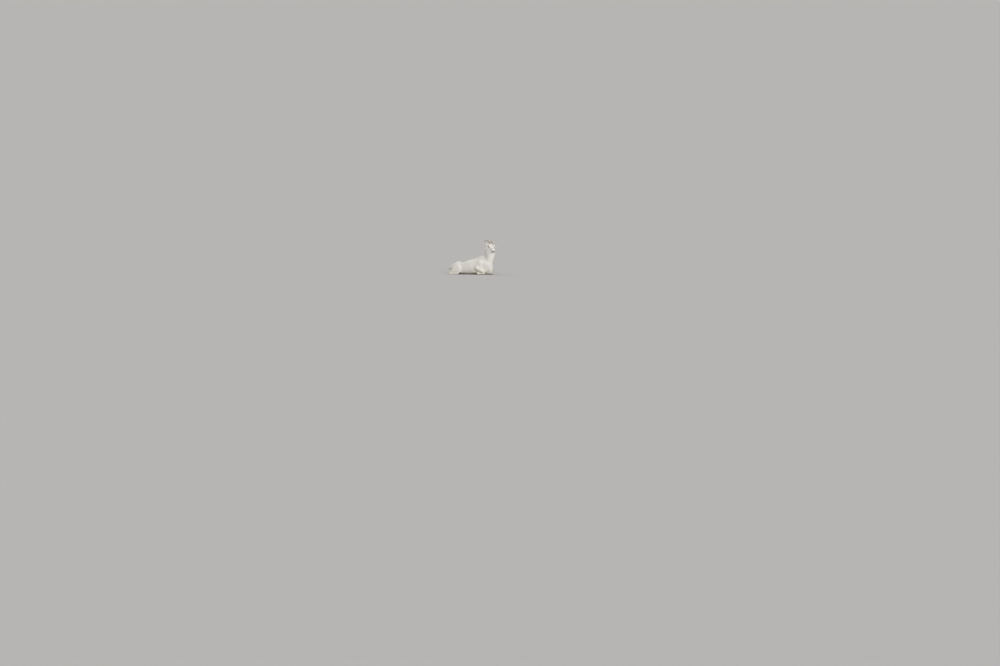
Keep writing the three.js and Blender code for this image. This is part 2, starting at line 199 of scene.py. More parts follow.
def merged_copy(node):
    """A CAD node's vertices and triangles, with its doubles merged."""
    bm = bmesh.new()
    bm.from_mesh(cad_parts[node].data)
    bmesh.ops.remove_doubles(bm, verts=bm.verts, dist=1e-5)
    return arrays_from(bm)


def mesh_from(name, points, faces):
    mesh = bpy.data.meshes.new(name)
    mesh.from_pydata([tuple(p) for p in points], [], [tuple(int(i) for i in f) for f in faces])
    mesh.update()
    return mesh


def ball(centre, radius, rings=12, sides=20):
    """A closed sphere as points and triangles."""
    bm = bmesh.new()
    bmesh.ops.create_uvsphere(bm, u_segments=sides, v_segments=rings, radius=radius)
    points, faces = arrays_from(bm)
    return points + centre, faces


def joined(solids):
    """Several solids as one set of vertices and triangles."""
    starts = np.cumsum([0] + [len(p) for p, _ in solids[:-1]])
    faces = np.concatenate([f + s for (_, f), s in zip(solids, starts)])
    return np.concatenate([p for p, _ in solids]), faces


def face_outwards(mesh):
    bm = bmesh.new()
    bm.from_mesh(mesh)
    bmesh.ops.recalc_face_normals(bm, faces=bm.faces)
    bm.to_mesh(mesh)
    bm.free()


def remeshed(name, solids, voxel):
    """One closed mesh over several solids, in even quads."""
    holder = bpy.data.objects.new(name, mesh_from(name, *joined(solids)))
    bpy.context.scene.collection.objects.link(holder)
    modifier = holder.modifiers.new("Remesh", "REMESH")
    modifier.mode = "VOXEL"
    modifier.voxel_size = voxel
    graph = bpy.context.evaluated_depsgraph_get()
    mesh = bpy.data.meshes.new_from_object(holder.evaluated_get(graph))
    bpy.data.objects.remove(holder)
    return mesh


def numbers_of(items, field, width=1, kind=np.float32):
    """One field of all the vertices, edges, faces or corners of a mesh, or of an attribute."""
    flat = np.empty(len(items) * width, kind)
    items.foreach_get(field, flat)
    return flat if width == 1 else flat.reshape(-1, width)


def points_of(mesh):
    return numbers_of(mesh.vertices, "co", 3).astype(float)


def set_points(mesh, points):
    mesh.vertices.foreach_set("co", np.ascontiguousarray(points, np.float32).ravel())
    mesh.update()


def normals_of(mesh):
    return numbers_of(mesh.vertex_normals, "vector", 3).astype(float)


class Spread:
    """Averages a value over each vertex's neighbours."""

    def __init__(self, mesh):
        pairs = numbers_of(mesh.edges, "vertices", 2, np.int32)
        self.start = np.concatenate([pairs[:, 0], pairs[:, 1]])
        self.end = np.concatenate([pairs[:, 1], pairs[:, 0]])
        self.count = len(mesh.vertices)
        self.degree = np.maximum(np.bincount(self.start, minlength=self.count), 1)

    def average(self, value):
        columns = value.reshape(self.count, -1)
        mean = [np.bincount(self.start, c[self.end], self.count) / self.degree for c in columns.T]
        return np.stack(mean, axis=1).reshape(value.shape)

    def soften(self, value, rounds):
        for _ in range(rounds):
            value = 0.5 * value + 0.5 * self.average(value)
        return value

    def fair(self, points, rounds, share):
        """Smooths without shrinking; share says how much each vertex takes part."""
        share = share[:, None]
        for _ in range(rounds):
            points = points + 0.55 * share * (self.average(points) - points)
            points = points - 0.57 * share * (self.average(points) - points)
        return points


def store(mesh, name, values, kind="FLOAT", domain="POINT"):
    attribute = mesh.attributes.new(name, kind, domain)
    field = "vector" if kind == "FLOAT_VECTOR" else "value"
    dtype = np.int32 if kind == "INT" else np.float32
    attribute.data.foreach_set(field, np.ascontiguousarray(values, dtype).ravel())


def shade_smooth(mesh):
    mesh.polygons.foreach_set("use_smooth", np.ones(len(mesh.polygons), bool))
    mesh.update()


def add_piece(name, mesh, material, stands_for=()):
    """A finished piece that rides on the body."""
    mesh.name = name
    shade_smooth(mesh)
    mesh.materials.clear()
    mesh.materials.append(material)
    piece = bpy.data.objects.new(name, mesh)
    bpy.context.scene.collection.objects.link(piece)
    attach(piece, "root")
    if stands_for:
        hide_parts(*stands_for)
    return piece


# Shader and geometry nodes


class Wire:
    """A node's output socket that takes part in Python sums."""

    def __init__(self, board, socket):
        self.board = board
        self.socket = socket

    def _math(self, operation, first, second):
        return self.board.add("ShaderNodeMath", {"operation": operation}, {0: first, 1: second})

    def __add__(self, other):
        return self._math("ADD", self, other)

    __radd__ = __add__

    def __mul__(self, other):
        return self._math("MULTIPLY", self, other)

    __rmul__ = __mul__

    def __sub__(self, other):
        return self._math("SUBTRACT", self, other)

    def __rsub__(self, other):
        return self._math("SUBTRACT", other, self)

    def __truediv__(self, other):
        return self._math("DIVIDE", self, other)

    def __rtruediv__(self, other):
        return self._math("DIVIDE", other, self)

    def __pow__(self, other):
        return self._math("POWER", self, other)

    def __rpow__(self, other):
        return self._math("POWER", other, self)

    def between(self, low, high):
        """0 below low, 1 above high, smooth between."""
        settings = {"interpolation_type": "SMOOTHSTEP"}
        return self.board.add("ShaderNodeMapRange", settings, {"Value": self, 1: low, 2: high})


class Board:
    """Adds nodes to one tree."""

    def __init__(self, tree):
        self.tree = tree

    def add(self, kind, settings=None, sockets=None, output=0):
        node = self.tree.nodes.new(kind)
        for key, value in (settings or {}).items():
            setattr(node, key, value)
        for key, value in (sockets or {}).items():
            self.put(self.socket(node.inputs, key), value)
        return None if output is None else Wire(self, self.socket(node.outputs, output))

    def socket(self, sockets, key):
        if isinstance(key, int):
            return sockets[key]
        for candidate in sockets:
            if candidate.name == key and candidate.enabled:
                return candidate
        return sockets[key]

    def put(self, socket, value):
        if isinstance(value, Wire):
            self.tree.links.new(value.socket, socket)
        else:
            socket.default_value = value

    def mix(self, share, first, second):
        """Mixes two colours, each a wire or a plain colour."""
        first, second = (c if isinstance(c, Wire) else rgba(c) for c in (first, second))
        return self.add("ShaderNodeMix", {"data_type": "RGBA"}, {0: share, 6: first, 7: second}, output=2)

    def vector(self, operation, first, second):
        return self.add("ShaderNodeVectorMath", {"operation": operation}, {0: first, 1: second})

    def scaled(self, vector, factor):
        return self.add("ShaderNodeVectorMath", {"operation": "SCALE"}, {0: vector, 3: factor})

    def attribute(self, name, output="Fac"):
        return self.add("ShaderNodeAttribute", {"attribute_name": name}, output=output)

    def noise(self, place, scale, detail=3.0, output=0):
        sockets = {"Vector": place, "Scale": scale, "Detail": detail}
        return self.add("ShaderNodeTexNoise", {}, sockets, output)

    def bump(self, height, distance, strength=1.0):
        return self.add("ShaderNodeBump", sockets={"Height": height, "Distance": distance,
                                                   "Strength": strength})


def new_material(name, constants):
    """A material with its shader's own sockets set, its board and its shader node."""
    material = bpy.data.materials.new(name)
    material.use_nodes = True
    shader = next(n for n in material.node_tree.nodes if n.type == "BSDF_PRINCIPLED")
    for key, value in constants.items():
        shader.inputs[key].default_value = value
    return material, Board(material.node_tree), shader


def object_place(board):
    return board.add("ShaderNodeTexCoord", output="Object")


def rgba(colour):
    return (*colour[:3], 1.0)


def coat_colour(board, settings):
    """White hair with faint warm staining, the same on the skin and on the tufts."""
    place = object_place(board)
    height = board.add("ShaderNodeSeparateXYZ", {}, {0: place}, output=2)
    broad = board.noise(place, 5.0, 3.0)
    fine = board.noise(place, 38.0, 2.0)
    low = 1 - height.between(0.03, 0.26)
    patches = broad.between(0.42, 0.68)
    stain = low * 0.55 + patches * 0.3
    base = board.mix(stain * settings.stain, settings.white, settings.stained)
    return board.mix(fine.between(0.35, 0.75) * 0.1, base, settings.shadow)


def coat_material(settings):
    material, board, shader = new_material("coat_hair", {"Roughness": 0.85, "Specular IOR Level": 0.2})
    colour = coat_colour(board, settings)
    along = board.attribute("along")
    shade = board.attribute("shade")
    # Painted shade: the tufts darken towards their roots, where the hair shades itself; the per-tuft shade
    # value adds random tone
    depth = (1 - along.between(0.0, 0.6)) * 0.3 + shade * 0.14
    board.put(shader.inputs["Base Color"], board.mix(depth, colour, settings.shadow))
    return material


def skin_material(settings):
    material, board, shader = new_material("skin_hair", {"Roughness": 0.85, "Specular IOR Level": 0.2})
    # Painted shade: the skin is 30% darker than the hair, for the shade under the coat
    colour = board.mix(0.3, coat_colour(board, settings), settings.shadow)
    bare = board.attribute("bare")
    dark = board.attribute("dark")
    colour = board.mix(bare, colour, settings.bare)
    # Dark mask: dark lid margins and nose skin, with painted shade in the nostrils and along the mouth's
    # line
    colour = board.mix(dark, colour, settings.dark)
    board.put(shader.inputs["Base Color"], colour)
    board.put(shader.inputs["Roughness"], 0.85 - bare * 0.35)
    hair = board.noise(object_place(board), 420.0, 2.0)
    board.put(shader.inputs["Normal"], board.bump(hair, 0.0012, 0.7))
    return material


def horn_material(settings):
    material, board, shader = new_material("horn_sheath", {"Specular IOR Level": 0.4})
    along = board.attribute("along")
    rings = board.attribute("ring")
    grain = board.noise(object_place(board), 130.0, 4.0)
    colour = board.mix(along.between(0.1, 0.95), settings.horn_base, settings.horn_tip)
    streaks = board.noise(object_place(board), 45.0, 3.0)
    colour = board.mix(streaks.between(0.4, 0.7) * 0.35, colour, settings.horn_pale)
    colour = board.mix((1 - rings) * 0.5 + grain * 0.25, colour, settings.horn_groove)
    board.put(shader.inputs["Base Color"], colour)
    board.put(shader.inputs["Roughness"], 0.42 + grain * 0.25)
    board.put(shader.inputs["Normal"], board.bump(grain, 0.0008, 0.6))
    return material


def hoof_material(settings):
    material, board, shader = new_material("hoof_horn", {"Specular IOR Level": 0.4})
    place = object_place(board)
    grain = board.noise(place, 170.0, 4.0)
    worn = board.noise(place, 28.0, 2.0)
    colour = board.mix(grain * 0.6, settings.hoof, settings.hoof_worn)
    colour = board.mix(worn.between(0.5, 0.8), colour, settings.hoof_worn)
    board.put(shader.inputs["Base Color"], colour)
    board.put(shader.inputs["Roughness"], 0.45 + grain * 0.3)
    board.put(shader.inputs["Normal"], board.bump(grain, 0.0006, 0.6))
    return material


def eye_material(settings):
    material, board, shader = new_material("eye_wet", {"Roughness": 0.06, "Coat Weight": 1.0,
                                                       "Coat Roughness": 0.02})
    forward = board.attribute("eye_forward")
    upward = board.attribute("eye_upward")
    radius = (forward * forward + upward * upward) ** 0.5
    streaks = board.noise(object_place(board), 900.0, 3.0)
    iris = board.mix(streaks, settings.iris, settings.iris_dark)
    iris = board.mix(radius.between(0.5, 0.72), iris, settings.iris_dark)
    colour = board.mix(radius.between(0.74, 0.8), iris, settings.sclera)
    wide = (forward / 0.44) ** 4.0
    tall = (upward / 0.17) ** 4.0
    pupil = 1 - (wide + tall).between(0.8, 1.2)
    board.put(shader.inputs["Base Color"], board.mix(pupil, colour, settings.pupil))
    return material


# Skin


def near(local, centre, radius):
    """1 at a place in the head's frame, falling off over radius."""
    return np.exp(-((np.linalg.norm(local - np.array(centre, float), axis=1) / radius) ** 2))


def eye_axes(side):
    """Outward, forward and upward axes of an eye, in the head's frame."""
    outward = unit(np.array([0.22, side * 0.96, 0.1]))
    upward = unit(np.array([0, 0, 1.0]) - outward * outward[2])
    forward = np.cross(upward, outward) * side
    return outward, forward * np.sign(forward[0]), upward


def ear_reach(side):
    """Direction in which an ear points, in the head's frame."""
    return unit(np.array([0.3, side * 0.9, EAR_RISE[side]]))


def eye_centre(side, settings):
    return np.array([EYE_MIDDLE[0], side * settings.eye_spread, EYE_MIDDLE[2]])


def finer(mesh, chosen):
    """Subdivides the faces whose vertices are all chosen."""
    bm = bmesh.new()
    bm.from_mesh(mesh)
    bm.verts.ensure_lookup_table()
    edges = [e for e in bm.edges if chosen[e.verts[0].index] and chosen[e.verts[1].index]]
    bmesh.ops.subdivide_edges(bm, edges=edges, cuts=1, use_grid_fill=True, smooth=0.0)
    bmesh.ops.triangulate(bm, faces=[f for f in bm.faces if len(f.verts) > 4])
    bm.to_mesh(mesh)
    bm.free()


def nearest_nodes(points, solids):
    """Which of the flesh nodes each point lies closest to."""
    vertices, faces = joined(solids)
    owner = np.repeat(np.arange(len(solids)), [len(f) for _, f in solids])
    tree = BVHTree.FromPolygons([tuple(v) for v in vertices], [tuple(map(int, f)) for f in faces])
    found = [tree.find_nearest(Vector(p))[2] for p in points]
    return owner[np.array(found)]


def on_nodes(owners, *kinds):
    """Whether each point of the skin lies on a node of one of these kinds."""
    return np.array([kind_of(n) in kinds for n in FLESH])[owners]


def distance_to_hooves(points):
    distances = np.full(len(points), 1.0)
    for hoof in HOOVES:
        low, high = (np.array(c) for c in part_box(hoof))
        outside = np.maximum(np.maximum(low - points, points - high), 0)
        distances = np.minimum(distances, np.linalg.norm(outside, axis=1))
    return distances


def shape_face(local, normals, settings):
    """Moves the face's vertices in the head's frame; returns places and the bare and dark masks."""
    bare = np.zeros(len(local))
    dark = np.zeros(len(local))
    lift = np.zeros(len(local))
    for side in SIDES.values():
        for height, (x, y, z), reach in FACE_FORMS:
            lift += height * near(local, (x, side * y, z), reach)
        arm = local - np.array([165, side * 15, -5])
        facing = unit(np.array([0.8, side * 0.55, 0.2]))
        slant = np.array([-0.4, side * 0.7, 0.5])
        slant = unit(slant - facing * (slant @ facing))
        over, up, deep = arm @ slant, arm @ np.cross(slant, facing) * side, arm @ facing
        up = up + 0.05 * over ** 2
        reach = np.exp(-((deep / 15) ** 2))
        nostril = reach * np.exp(-((over / 8) ** 4) - (up / 3.0) ** 2)
        lift -= 8.0 * nostril
        lift += 2.4 * reach * np.exp(-((over / 11) ** 2) - ((up - 7.5) / 3.5) ** 2)
        bare = np.maximum(bare, reach * np.exp(-((over / 14) ** 2) - (up / 10) ** 2))
        # The nostrils' near-black is dark skin, darkened further as painted shade of their openings
        dark = np.maximum(dark, nostril)
    groove = np.exp(-((local[:, 1] / 2.4) ** 2)) * smoothstep(150, 162, local[:, 0])
    lift -= 2.2 * groove * smoothstep(-24, -14, local[:, 2]) * (1 - smoothstep(-4, 6, local[:, 2]))
    mouth_height = -23 - 9 * smoothstep(160, 100, local[:, 0])
    along_mouth = smoothstep(92, 108, local[:, 0])
    off_line = local[:, 2] - mouth_height
    line = np.exp(-((off_line / 1.8) ** 2)) * along_mouth
    lips = np.exp(-((off_line / 6.5) ** 2)) * along_mouth
    lift += 1.8 * lips - 4.2 * line
    lift += 2.4 * near(local, (148, 0, -48), 20)
    pad = near(local, (174, 0, -10), 24)
    bare = np.maximum(bare, smoothstep(0.22, 0.5, pad))
    bare = np.maximum(bare, smoothstep(0.25, 0.6, lips * smoothstep(105, 150, local[:, 0])))
    # The mouth's line is dark lips, darkened further as painted shade of the gap between them
    dark = np.maximum(dark, 0.9 * line)
    local = local + normals * lift[:, None]
    for side in SIDES.values():
        local, rim = shape_lids(local, side, settings)
        dark = np.maximum(dark, rim)
        bare = np.maximum(bare, rim)
    return local, bare, dark


def shape_lids(local, side, settings):
    """Wraps the skin round one eyeball with an almond opening and a fold above it."""
    centre = eye_centre(side, settings)
    outward, forward, upward = eye_axes(side)
    arm = local - centre
    reach = np.linalg.norm(arm, axis=1)
    out, fore, high = arm @ outward, arm @ forward, arm @ upward
    wide = np.degrees(np.arctan2(fore, out)) / settings.lid_half_width
    tall = np.degrees(np.arctan2(high, out)) / settings.lid_half_height
    tall = np.where(tall < 0, tall * 1.15, tall)
    almond = np.sqrt(wide ** 2 + tall ** 2 + 0.35 * np.abs(wide * tall))
    radius = settings.eye_radius
    inside = smoothstep(0.86, 1.02, almond)
    lid = radius - 5 + 6.6 * inside
    lid -= 1.5 * np.exp(-(((almond - 1.65) / 0.16) ** 2)) * smoothstep(-0.2, 0.5, high / radius)
    share = (1 - smoothstep(1.45, 2.35, almond)) * smoothstep(-2, 5, out)
    share *= 1 - smoothstep(radius * 1.7, radius * 2.3, reach)
    wanted = centre + unit(arm) * lid[:, None]
    moved = local + (wanted - local) * share[:, None]
    rim = np.exp(-(((almond - 1.06) / 0.4) ** 2)) * smoothstep(0.1, 0.6, share)
    tear = arm - forward * radius * 1.45 + upward * radius * 0.35
    rim = np.maximum(rim * 1.7, 0.7 * np.exp(-((np.linalg.norm(tear, axis=1) / 6.5) ** 2)))
    return moved, np.clip(rim, 0, 1)


def hollow_ears(points, owners):
    """Presses the front of each ear in along its middle, so that it is a cup, and narrows its tip."""
    inner = np.zeros(len(points))
    local = HEAD.inside(points)
    for side_name, side in SIDES.items():
        mine = owners == FLESH.index(f"ear_{side_name}")
        mirror = np.array([1, side, 1])
        reach = ear_reach(side)
        facing = EAR_FACING * mirror
        facing = unit(facing - reach * (facing @ reach))
        across = np.cross(reach, facing)
        arm = local - EAR_ROOT * mirror
        along, over, front = arm @ reach, arm @ across, arm @ facing
        cup = np.exp(-((over / 12) ** 2)) * smoothstep(8, 30, along) * (1 - smoothstep(80, 100, along))
        cup *= smoothstep(-1.0, 2.5, front) * mine
        local = local - facing * (4.4 * cup)[:, None]
        narrowing = 0.5 * smoothstep(30, 112, along) * mine
        local = local - across * (over * narrowing)[:, None]
        inner = np.maximum(inner, cup)
    return HEAD.outside(local), inner


def lie_of(name, points):
    """Direction of the hair over a node, before it is pressed to the surface."""
    if name == "head":
        return np.tile(HEAD.direction((-1, 0, 0.15)), (len(points), 1))
    if name.startswith("ear"):
        side = SIDES[name.split("_")[-1]]
        return np.tile(HEAD.direction(ear_reach(side)), (len(points), 1))
    key = next(k for k in LIE_OF if name.startswith(k))
    lie = np.tile(np.array(LIE_OF[key], float), (len(points), 1))
    if key in LOW_LIE_OF:
        low_lie, low, high = LOW_LIE_OF[key]
        share = smoothstep(low, high, points[:, 2])[:, None]
        lie = share * lie + (1 - share) * np.array(low_lie)
    if name.startswith("trunk"):
        lie[:, 2] -= 0.7 * smoothstep(0.05, 0.18, np.abs(points[:, 1]))
        chest = smoothstep(0.28, 0.46, points[:, 0])[:, None]
        lie = (1 - chest) * lie + chest * np.array([-0.25, 0, -1.0])
    return lie


def coat_values(points, owners, spread, column):
    """One column of COAT_OF over the skin, running from head to neck and from node to node."""
    values = np.array([COAT_OF[kind_of(n)][column] for n in FLESH])[owners]
    nape = smoothstep(0, -95, HEAD.inside(points)[:, 0]) * on_nodes(owners, "head")
    values = values + nape * 0.7 * (COAT_OF["neck"][column] - values)
    return spread.soften(values, 60)


def join_of(spread, chosen, rounds):
    """1 where a region of the skin ends, falling to 0 on both sides."""
    share = spread.soften(chosen * 1.0, rounds)
    return 4 * share * (1 - share)


def fill_creases(mesh, points, spread, share, settings):
    """Raises the bottoms of creases towards a smoother surface, as loose skin and hair do."""
    for _ in range(settings.crease_rounds):
        set_points(mesh, points)
        normals = unit(spread.soften(normals_of(mesh), 3))
        rise = np.sum((spread.soften(points, 60) - points) * normals, axis=1)
        rise = np.clip(rise, 0, settings.crease_step * MM) * share
        points = points + normals * spread.soften(rise, 6)[:, None]
    return spread.fair(points, 20, share)


def smooth_body(mesh, points, owners, spread, settings):
    """Smooths the joined solids into one form, most over the body and where two nodes meet."""
    head, neck = on_nodes(owners, "head"), on_nodes(owners, "neck")
    fine = on_nodes(owners, "head", "ear", "leg_lower")
    points = spread.fair(points, 14, spread.soften(np.where(fine, 0.45, 1.0), 4))
    along_head = HEAD.inside(points)[:, 0]
    nape = smoothstep(-40, -85, along_head) * head
    throat = join_of(spread, neck, 30) * head
    collar = join_of(spread, neck, 80) * smoothstep(*NECK_TOP, points[:, 2])
    collar *= np.where(on_nodes(owners, "ear"), 0.0, 0.9) * (1 - smoothstep(-30, 20, along_head) * fine)
    points = points + spread.soften(collar, 4)[:, None] * (spread.soften(points, 80) - points)
    body = spread.soften(np.where(fine, np.maximum(nape, throat), 1.0), 6)
    points = spread.fair(points, settings.body_fairing, body)
    seam = join_of(spread, on_nodes(owners, "leg_upper"), 50)
    seam = np.maximum(seam, join_of(spread, head, 30))
    raised = smoothstep(0.04, 0.12, points[:, 2])
    return fill_creases(mesh, points, spread, body * raised * (0.35 + 0.65 * seam), settings)


def shrink_by_coat(mesh, points, owners, spread):
    """Moves the skin in by the coat's depth, which thins out towards the hooves."""
    set_points(mesh, points)
    depth = coat_values(points, owners, spread, 0) * MM
    depth *= 0.12 + 0.88 * smoothstep(0.0, 0.03, distance_to_hooves(points))
    normals = spread.soften(normals_of(mesh), 3)
    shrunk = points - unit(normals) * depth[:, None]
    shrunk = spread.fair(shrunk, 4, np.full(len(points), 0.7))
    shrunk[:, 2] = np.maximum(shrunk[:, 2], SKIN_FLOOR)
    set_points(mesh, shrunk)


def make_skin(settings):
    """One seamless skin over the flesh nodes, inside them by the coat's depth, with its face and its
    coat's directions and sizes as attributes."""
    solids = [merged_copy(name) for name in FLESH]
    eyes = [merged_copy(f"eye_{side}") for side in SIDES]
    x, y, z = HORN_ROOT
    roots = [ball(HEAD.outside((x, side * y, z)), HORN_ROOT_RADIUS * HEAD.scale) for side in SIDES.values()]
    mesh = remeshed("skin", solids + eyes + roots, settings.voxel * MM)
    points = points_of(mesh)
    owners = nearest_nodes(points, solids)
    spread = Spread(mesh)
    points = smooth_body(mesh, points, owners, spread, settings)
    shrink_by_coat(mesh, points, owners, spread)
    for reach in (settings.fine_head, settings.fine_features):
        finer(mesh, head_region(HEAD.inside(points_of(mesh)), reach, settings))
    points = points_of(mesh)
    owners = nearest_nodes(points, solids)
    spread = Spread(mesh)
    points = spread.fair(points, 3, head_region(HEAD.inside(points), settings.fine_head, settings) * 1.0)
    set_points(mesh, points)
    points, inner_ear = hollow_ears(points, owners)
    set_points(mesh, points)
    local = HEAD.inside(points)
    local_normals = normals_of(mesh) @ HEAD.turn
    face = on_nodes(owners, "head") & (local[:, 0] > FACE_START)
    shaped, bare, dark = shape_face(local[face], local_normals[face], settings)
    points[face] = HEAD.outside(shaped)
    set_points(mesh, points)
    masks = np.zeros((len(points), 2))
    masks[face, 0], masks[face, 1] = bare, dark
    masks[:, 0] = np.maximum(masks[:, 0], 0.05 * inner_ear)
    add_coat_attributes(mesh, points, owners, spread, masks)
    return mesh


def head_region(local, reach, settings):
    """Vertices that take a finer mesh: the whole head, or the eyes and the muzzle."""
    if reach > 1.5 * settings.fine_features:
        axis = np.clip(local[:, 0], -90, 160)
        return np.hypot(np.hypot(local[:, 0] - axis, local[:, 1]), local[:, 2] + 10) < reach
    chosen = np.linalg.norm(local - np.array([160, 0, -14]), axis=1) < reach * 1.25
    for side in SIDES.values():
        chosen |= np.linalg.norm(local - eye_centre(side, settings), axis=1) < reach
    return chosen


def add_coat_attributes(mesh, points, owners, spread, masks):
    """Writes the coat's direction, sizes and density, the masks and the coat pieces' numbers on the skin.
    """
    normals = unit(normals_of(mesh))
    lie = np.zeros_like(points)
    for index, name in enumerate(FLESH):
        mine = owners == index
        lie[mine] = lie_of(name, points[mine])
    lie = spread.soften(unit(lie), 60)
    lie -= normals * np.sum(lie * normals, axis=1, keepdims=True)
    store(mesh, "coat_lie", unit(lie), "FLOAT_VECTOR")
    store(mesh, "form_normal", unit(spread.soften(normals, 4)), "FLOAT_VECTOR")
    free = 1 - smoothstep(0.16, 0.4, masks.max(axis=1))
    face = np.where(on_nodes(owners, "head"), smoothstep(-40, 120, HEAD.inside(points)[:, 0]), 0)
    raised = smoothstep(0.0, 0.02, points[:, 2])
    arm = points - REFERENCE - WITHERS * MM
    ruffled = np.exp(-(np.linalg.norm(arm, axis=1) / WITHERS_REACH) ** 2)
    length, width, lift, density = (coat_values(points, owners, spread, column) for column in range(1, 5))
    store(mesh, "coat_length", length * (1 - 0.5 * face) * (1 + 0.35 * ruffled) * MM)
    store(mesh, "coat_width", width * (1 - 0.35 * face) * MM)
    store(mesh, "coat_lift", lift * (0.3 + 0.7 * raised) * (1 + 1.3 * ruffled))
    clear = np.where(points[:, 2] < UNDERSIDE, 0, 0.5 + 0.5 * raised)
    store(mesh, "coat_density", density * 1e4 * free * (1 + 0.5 * face) * clear)
    store(mesh, "bare", np.clip(masks[:, 0], 0, 1))
    store(mesh, "dark", np.clip(masks[:, 1], 0, 1))
    mark_pieces(mesh)


def mark_pieces(mesh):
    """Numbers the faces so that each coat piece gets a like share of the tufts."""
    centres = numbers_of(mesh.polygons, "center", 3)
    areas = numbers_of(mesh.polygons, "area")
    density = numbers_of(mesh.attributes["coat_density"].data, "value")
    first = numbers_of(mesh.polygons, "loop_start", kind=np.int32)
    corners = numbers_of(mesh.loops, "vertex_index", kind=np.int32)
    load = areas * density[corners[first]]
    order = np.argsort(centres[:, 0], kind="stable")
    share = np.cumsum(load[order]) / load.sum()
    numbers = np.empty(len(order), np.int32)
    numbers[order] = np.minimum((share * COAT_PIECES).astype(int), COAT_PIECES - 1)
    store(mesh, "coat_part", numbers, "INT", "FACE")


def unwrap(piece):
    """The map OFBake: an unwrap of the skin's own shape."""
    bpy.ops.object.select_all(action="DESELECT")
    bpy.context.view_layer.objects.active = piece
    piece.select_set(True)
    piece.data.uv_layers.new(name="OFBake")
    bpy.ops.object.mode_set(mode="EDIT")
    bpy.ops.mesh.select_all(action="SELECT")
    bpy.ops.uv.smart_project(angle_limit=math.radians(66), island_margin=0.002)
    bpy.ops.object.mode_set(mode="OBJECT")
    piece.select_set(False)


# Coat


def tuft_template(name, seed):
    """A fan of thin locks, each a closed four-sided spike that rises from its root to its tip, one unit
    long along X."""
    chance = np.random.default_rng(seed)
    points, faces, along = [], [], []
    for lock in range(LOCKS):
        offset = (lock - (LOCKS - 1) / 2) * 0.8 + chance.uniform(-0.2, 0.2)
        swing = offset * chance.uniform(0.6, 1.1) + chance.uniform(-0.7, 0.7)
        root = chance.uniform(0.0, 0.3)
        reach = chance.uniform(0.78, 1.0)
        left = len(points)
        right, ridge, tip = left + 1, left + 2, left + 3
        points += [(root, offset - 0.5, -0.12), (root, offset + 0.5, -0.12), (root, offset, 0.16),
                   (reach, swing, 0.95)]
        along += [0.0, 0.0, 0.0, 1.0]
        faces += [(left, tip, ridge), (ridge, tip, right), (right, tip, left), (left, ridge, right)]
    mesh = mesh_from(name, points, faces)
    face_outwards(mesh)
    store(mesh, "along", along)
    patch = [(p[0] - 0.5, np.clip(p[1] / LOCKS, -0.5, 0.5), 0) for p in points]
    store(mesh, "patch", np.array(patch), "FLOAT_VECTOR")
    store(mesh, "rise", [p[2] for p in points])
    shade_smooth(mesh)
    template = bpy.data.objects.new(name, mesh)
    bpy.context.scene.collection.objects.link(template)
    return template


def named(board, name, kind="FLOAT"):
    return board.add("GeometryNodeInputNamedAttribute", {"data_type": kind}, {"Name": name}, "Attribute")


def stored(board, solid, name, value, kind="FLOAT", domain="POINT"):
    return board.add("GeometryNodeStoreNamedAttribute", {"data_type": kind, "domain": domain},
                     {"Geometry": solid, "Name": name, "Value": value})


def chance_value(board, low, high, seed, kind="FLOAT"):
    return board.add("FunctionNodeRandomValue", {"data_type": kind},
                     {"Min": low, "Max": high, "Seed": seed}, "Value")


